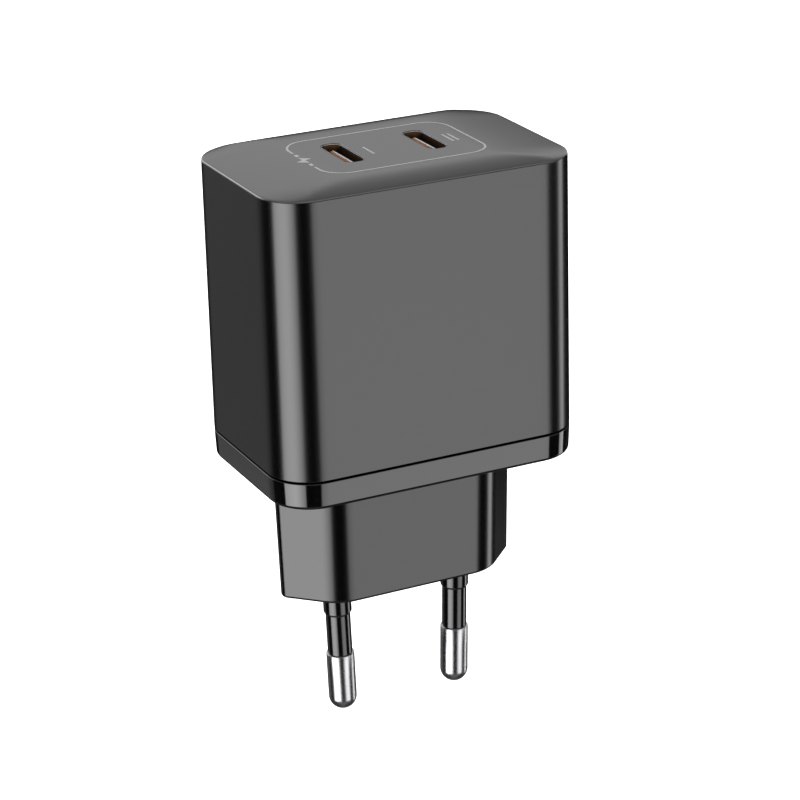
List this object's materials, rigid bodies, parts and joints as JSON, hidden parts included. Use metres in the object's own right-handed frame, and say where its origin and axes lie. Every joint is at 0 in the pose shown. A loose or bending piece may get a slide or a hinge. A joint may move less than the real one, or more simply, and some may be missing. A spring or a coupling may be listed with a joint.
{
  "type": "usb wall charger",
  "caption": "Upright wall charger with a crowned top that holds USB-C ports and a flat two-pin Europlug nose with sprung, sleeved pins.",
  "frame": {"origin": "centre of the plug's engagement face, between its pins", "axes": "+Z points out of the socket towards the ports, +X runs across the pins to the right when the large front face is seen, +Y runs from the front face to the back"},
  "size_m": [0.045, 0.0296, 0.0816],
  "materials": {
    "housing": "satin black polycarbonate",
    "base": "semi-gloss black polycarbonate",
    "sleeve": "semi-gloss black nylon",
    "pin_metal": "bright nickel plate",
    "port_metal": "drawn stainless steel",
    "port_tongue": "orange moulded plastic",
    "gold_contact": "gold flash",
    "black_plastic": "moulded",
    "retainer_plastic": "natural moulded plastic",
    "board": "green solder mask",
    "ferrite": "ground ferrite",
    "copper": "enamelled copper",
    "winding_tape": "amber polyester tape",
    "can": "sleeved aluminium can",
    "capacitor_yellow": "epoxy-filled box",
    "capacitor_blue": "lacquered disc",
    "fuse_brown": "moulded",
    "small_parts": "fired",
    "spreader": "rolled sheet",
    "film": "polyimide film",
    "pad": "soft silicone"
  },
  "bodies": {
    "casing": {"upper_housing": "housing", "base_cover": "base", "pin_retainer": "retainer_plastic", "live_contact_spring": "copper", "neutral_contact_spring": "copper", "port_1_shell": "port_metal", "port_1_insulator": "black_plastic", "port_1_tongue": "port_tongue", "port_1_contacts": "gold_contact", "port_2_shell": "port_metal", "port_2_insulator": "black_plastic", "port_2_tongue": "port_tongue", "port_2_contacts": "gold_contact", "power_board": "board", "control_board": "board", "port_board": "board", "board_header": "black_plastic", "transformer_core": "ferrite", "transformer_bobbin": "black_plastic", "transformer_winding": "winding_tape", "bulk_capacitor_1": "can", "bulk_capacitor_2": "can", "bulk_capacitor_3": "can", "choke_core": "ferrite", "choke_winding": "copper", "x_capacitor": "capacitor_yellow", "y_capacitor": "capacitor_blue", "fuse": "fuse_brown", "bridge_rectifier": "black_plastic", "power_switch_chip": "black_plastic", "rectifier_chip": "black_plastic", "controller_chip": "black_plastic", "optocoupler": "black_plastic", "output_capacitor_1": "can", "output_capacitor_2": "can", "output_inductor_1": "ferrite", "output_inductor_2": "ferrite", "port_controller_1": "black_plastic", "port_controller_2": "black_plastic", "surface_mount_parts": "small_parts", "heat_spreader": "spreader", "insulation_film": "film", "thermal_pad": "pad"},
    "left_prong": {"left_pin": "pin_metal", "left_pin_sleeve": "sleeve"},
    "right_prong": {"right_pin": "pin_metal", "right_pin_sleeve": "sleeve"}
  },
  "joints": [
    {"name": "left_pin_flex", "type": "hinge", "parent": "casing", "child": "left_prong", "pos_m": [-0.00933, 0, 0.0012], "axis": [0, 1, 0], "range_deg": [0, 2], "stiffness_Nm_per_rad": 0.6},
    {"name": "right_pin_flex", "type": "hinge", "parent": "casing", "child": "right_prong", "pos_m": [0.00933, 0, 0.0012], "axis": [0, -1, 0], "range_deg": [0, 2], "stiffness_Nm_per_rad": 0.6}
  ]
}
